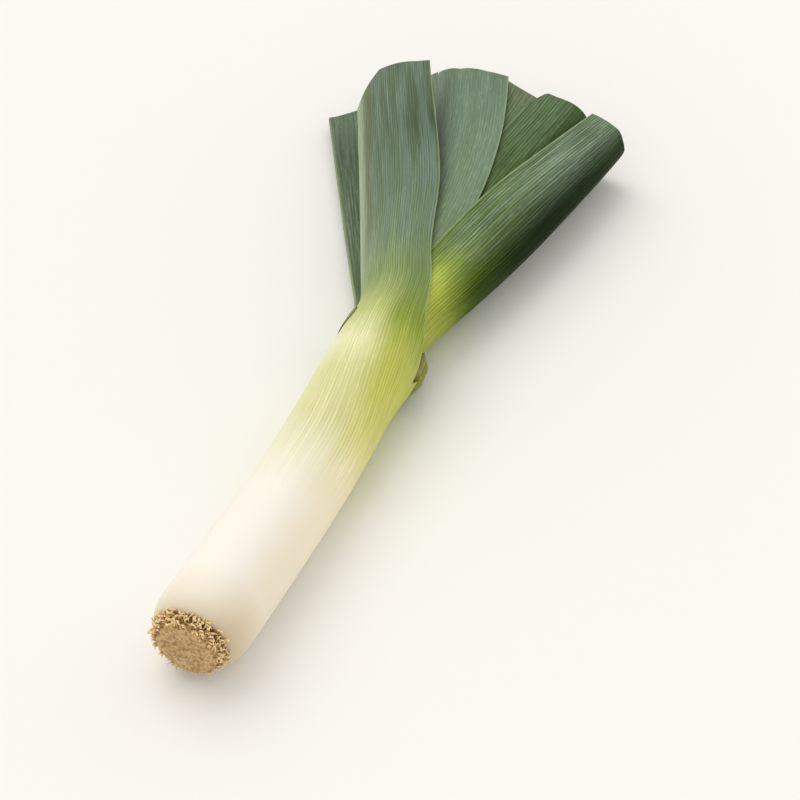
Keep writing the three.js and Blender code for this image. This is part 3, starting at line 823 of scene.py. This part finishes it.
# The root plate
# The flat stem of the bulb, cut clean across: a tan, fibrous disc. The dry stubs of its roots stand out
# round its rim in a curly fringe.
PLATE_RADIUS = 11.9
PLATE_FACE = -2.4
PLATE_BACK = 2.0
GRAIN_DEPTH = 0.22
plate_x, plate_z = shank_centre(0)
turns = np.linspace(0, 2 * np.pi, 181)[None, :]
profile = np.array([
    *[(PLATE_RADIUS * 0.9 * share, PLATE_FACE) for share in np.linspace(0.02, 1, 46)],
    (PLATE_RADIUS * 0.94, PLATE_FACE + 0.2), (PLATE_RADIUS * 0.98, PLATE_FACE + 0.6),
    (PLATE_RADIUS, PLATE_FACE + 1.2), (PLATE_RADIUS, PLATE_FACE + 2.4), (PLATE_RADIUS * 0.97, PLATE_BACK),
])
plate_radii, plate_places = profile[:, :1], profile[:, 1:]
on_face = ease((PLATE_RADIUS - plate_radii) / 2)
grain = waves(plate_radii * np.cos(turns), plate_radii * np.sin(turns), 51, 2.6)
grain += 0.7 * waves(plate_radii * np.cos(turns) * 2, plate_radii * np.sin(turns) * 2 + 7, 52, 2.4)
rim = 1 + 0.02 * waves(np.cos(turns) * 12, np.sin(turns) * 12, 53, 9)
plate_points = np.stack([
    plate_x + plate_radii * rim * np.cos(turns),
    plate_places - GRAIN_DEPTH * grain * mix(0.4, 1, on_face),
    plate_z + plate_radii * rim * np.sin(turns),
], -1)
skin = Skin()
plate_index = skin.add(plate_points[:, :-1])
plate_index = np.concatenate([plate_index, plate_index[:, :1]], 1)
skin.cover(plate_index, 0, 0)
for ring, place, flipped in ((plate_index[0], PLATE_FACE, True), (plate_index[-1], PLATE_BACK, False)):
    hub = skin.add(np.array([[plate_x, place, plate_z]]))
    skin.cover(np.stack([ring, np.full_like(ring, hub[0])]), 0, 0, flipped)


def root_material():
    """Dry tan fibre. Each stub is brown at its foot, partly its own colour and partly painted shade in the
    gaps between the stubs, and pale towards its tip.
    """
    material = bpy.data.materials.new("root")
    material.use_nodes = True
    tree = material.node_tree
    shader = tree.nodes["Principled BSDF"]
    where = new_node(tree, "ShaderNodeTexCoord")
    speckle = new_node(tree, "ShaderNodeTexNoise")
    speckle.inputs["Scale"].default_value = 900
    speckle.inputs["Detail"].default_value = 4
    link(tree, where.outputs["Object"], speckle.inputs["Vector"])
    ramp = new_node(tree, "ShaderNodeValToRGB")
    link(tree, speckle.outputs[0], ramp.inputs["Fac"])
    low, high = ramp.color_ramp.elements
    low.position, low.color = 0.34, srgb(160, 126, 80)
    high.position, high.color = 0.6, srgb(212, 181, 134)
    tone = new_node(tree, "ShaderNodeAttribute", attribute_name="tone")
    stub = smooth_step(tree, tone.outputs["Fac"], 0.05, 0.25)
    tip = smooth_step(tree, tone.outputs["Fac"], 0.35, 1)
    # Brown at each stub's foot: partly the root's own colour, partly painted shade in the gaps between the
    # stubs.
    colour = mixed(tree, stub, ramp.outputs["Color"], (158, 112, 48))
    colour = mixed(tree, tip, colour, (247, 221, 170))
    link(tree, colour, shader.inputs["Base Color"])
    shader.inputs["Roughness"].default_value = 0.85
    shader.inputs["Specular IOR Level"].default_value = 0.2
    return material


def stub_tree():
    """Curly stubs of roots, set in windings round the rim of the plate."""
    tree = bpy.data.node_groups.new("root stubs", "GeometryNodeTree")
    tree.interface.new_socket("Plate", in_out="INPUT", socket_type="NodeSocketGeometry")
    kinds = {
        "Count": "Int", "Windings": "Float", "Front Radius": "Float", "Back Radius": "Float",
        "Depth": "Float", "Length": "Float", "Thickness": "Float", "Middle": "Vector",
        "Seed": "Int", "Material": "Material",
    }
    for name, kind in kinds.items():
        tree.interface.new_socket(name, in_out="INPUT", socket_type="NodeSocket" + kind)
    tree.interface.new_socket("Plate", in_out="OUTPUT", socket_type="NodeSocketGeometry")
    given = new_node(tree, "NodeGroupInput")
    result = new_node(tree, "NodeGroupOutput")

    def random(kind, low, high, offset):
        made = new_node(tree, "FunctionNodeRandomValue", data_type=kind)
        first = 0 if kind == "FLOAT_VECTOR" else 2
        made.inputs[first].default_value = low
        made.inputs[first + 1].default_value = high
        link(tree, maths(tree, "ADD", given.outputs["Seed"], offset), made.inputs["Seed"])
        return made.outputs[0 if kind == "FLOAT_VECTOR" else 1]

    winding = new_node(tree, "GeometryNodeCurveSpiral")
    winding.inputs["Resolution"].default_value = 64
    for name, socket in (
        ("Windings", "Rotations"), ("Front Radius", "Start Radius"),
        ("Back Radius", "End Radius"), ("Depth", "Height"),
    ):
        link(tree, given.outputs[name], winding.inputs[socket])
    upright = new_node(tree, "GeometryNodeTransform")
    upright.inputs["Rotation"].default_value = (-math.pi / 2, 0, 0)
    link(tree, winding.outputs[0], upright.inputs["Geometry"])
    places = new_node(tree, "GeometryNodeResampleCurve")
    link(tree, upright.outputs[0], places.inputs["Curve"])
    link(tree, given.outputs["Count"], places.inputs["Count"])
    jitter = new_node(tree, "GeometryNodeSetPosition")
    link(tree, places.outputs[0], jitter.inputs["Geometry"])
    link(tree, random("FLOAT_VECTOR", (-0.0006,) * 3, (0.0006,) * 3, 1), jitter.inputs["Offset"])

    bend = new_node(tree, "GeometryNodeCurveQuadraticBezier")
    bend.inputs["Resolution"].default_value = 8
    bend.inputs["Start"].default_value = (0, 0, -0.35)
    bend.inputs["Middle"].default_value = (0.08, 0, 0.75)
    bend.inputs["End"].default_value = (0.75, 0.15, 0.85)
    longer = new_node(tree, "GeometryNodeTransform")
    sized = new_node(tree, "ShaderNodeCombineXYZ")
    for socket in sized.inputs:
        link(tree, given.outputs["Length"], socket)
    link(tree, bend.outputs[0], longer.inputs["Geometry"])
    link(tree, sized.outputs[0], longer.inputs["Scale"])
    share = new_node(tree, "GeometryNodeSplineParameter")
    taper = new_node(tree, "GeometryNodeSetCurveRadius")
    link(tree, longer.outputs[0], taper.inputs["Curve"])
    link(tree, maths(tree, "MULTIPLY_ADD", share.outputs["Factor"], -0.35, 1), taper.inputs["Radius"])
    toned = new_node(tree, "GeometryNodeStoreNamedAttribute", data_type="FLOAT", domain="POINT")
    toned.inputs["Name"].default_value = "tone"
    link(tree, taper.outputs[0], toned.inputs["Geometry"])
    link(tree, maths(tree, "MULTIPLY_ADD", share.outputs["Factor"], 0.7, 0.3), toned.inputs["Value"])
    section = new_node(tree, "GeometryNodeCurvePrimitiveCircle")
    section.inputs["Resolution"].default_value = 7
    link(tree, given.outputs["Thickness"], section.inputs["Radius"])
    stub = new_node(tree, "GeometryNodeCurveToMesh")
    link(tree, toned.outputs[0], stub.inputs["Curve"])
    link(tree, section.outputs[0], stub.inputs["Profile Curve"])
    stub.inputs["Fill Caps"].default_value = True

    place = new_node(tree, "GeometryNodeInputPosition")
    outward = new_node(tree, "ShaderNodeVectorMath", operation="MULTIPLY")
    outward.inputs[1].default_value = (1, 0, 1)
    link(tree, place.outputs[0], outward.inputs[0])
    aligned = new_node(tree, "FunctionNodeAlignRotationToVector", axis="Z")
    link(tree, outward.outputs[0], aligned.inputs["Vector"])
    leaning = new_node(tree, "FunctionNodeRotateRotation", rotation_space="LOCAL")
    link(tree, aligned.outputs[0], leaning.inputs["Rotation"])
    euler = new_node(tree, "FunctionNodeEulerToRotation")
    link(tree, random("FLOAT_VECTOR", (-0.6, -0.6, -3.1), (0.6, 0.6, 3.1), 2), euler.inputs["Euler"])
    link(tree, euler.outputs[0], leaning.inputs["Rotate By"])
    scattered = new_node(tree, "GeometryNodeInstanceOnPoints")
    link(tree, jitter.outputs[0], scattered.inputs["Points"])
    link(tree, stub.outputs[0], scattered.inputs["Instance"])
    link(tree, leaning.outputs[0], scattered.inputs["Rotation"])
    split = new_node(tree, "ShaderNodeSeparateXYZ")
    link(tree, place.outputs[0], split.inputs[0])
    height = maths(tree, "MULTIPLY_ADD", split.outputs["Z"], 20, 0.86)
    link(tree, maths(tree, "MULTIPLY", random("FLOAT", 0.6, 1.15, 3), height), scattered.inputs["Scale"])
    real = new_node(tree, "GeometryNodeRealizeInstances")
    link(tree, scattered.outputs[0], real.inputs["Geometry"])
    moved = new_node(tree, "GeometryNodeTransform")
    link(tree, real.outputs[0], moved.inputs["Geometry"])
    link(tree, given.outputs["Middle"], moved.inputs["Translation"])
    joined = new_node(tree, "GeometryNodeJoinGeometry")
    link(tree, moved.outputs[0], joined.inputs[0])
    link(tree, given.outputs["Plate"], joined.inputs[0])
    painted = new_node(tree, "GeometryNodeSetMaterial")
    link(tree, joined.outputs[0], painted.inputs["Geometry"])
    link(tree, given.outputs["Material"], painted.inputs["Material"])
    link(tree, painted.outputs[0], result.inputs[0])
    return tree


finish = root_material()
plate = skin.piece("root_plate", finish)
stubs = plate.modifiers.new("root stubs", "NODES")
stubs.node_group = stub_tree()
inputs = [item for item in stubs.node_group.interface.items_tree if item.in_out == "INPUT"]
sockets = {item.name: item.identifier for item in inputs}
middle = ((ROOT_PLATE_X + plate_x) * MM, (ROOT_PLATE_Y - 2.2) * MM, plate_z * MM)
for name, value in {
    "Count": 520, "Windings": 4.5, "Front Radius": 0.0112, "Back Radius": 0.0131, "Depth": 0.0047,
    "Length": 0.0026, "Thickness": 0.00029, "Middle": middle, "Seed": 7, "Material": finish,
}.items():
    stubs[sockets[name]] = value
evaluated = plate.evaluated_get(bpy.context.evaluated_depsgraph_get())
fringed = bpy.data.meshes.new_from_object(evaluated)
plate.modifiers.clear()
plate.data = fringed
plate.data.shade_smooth()
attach(plate, "root")
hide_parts("root_plate")
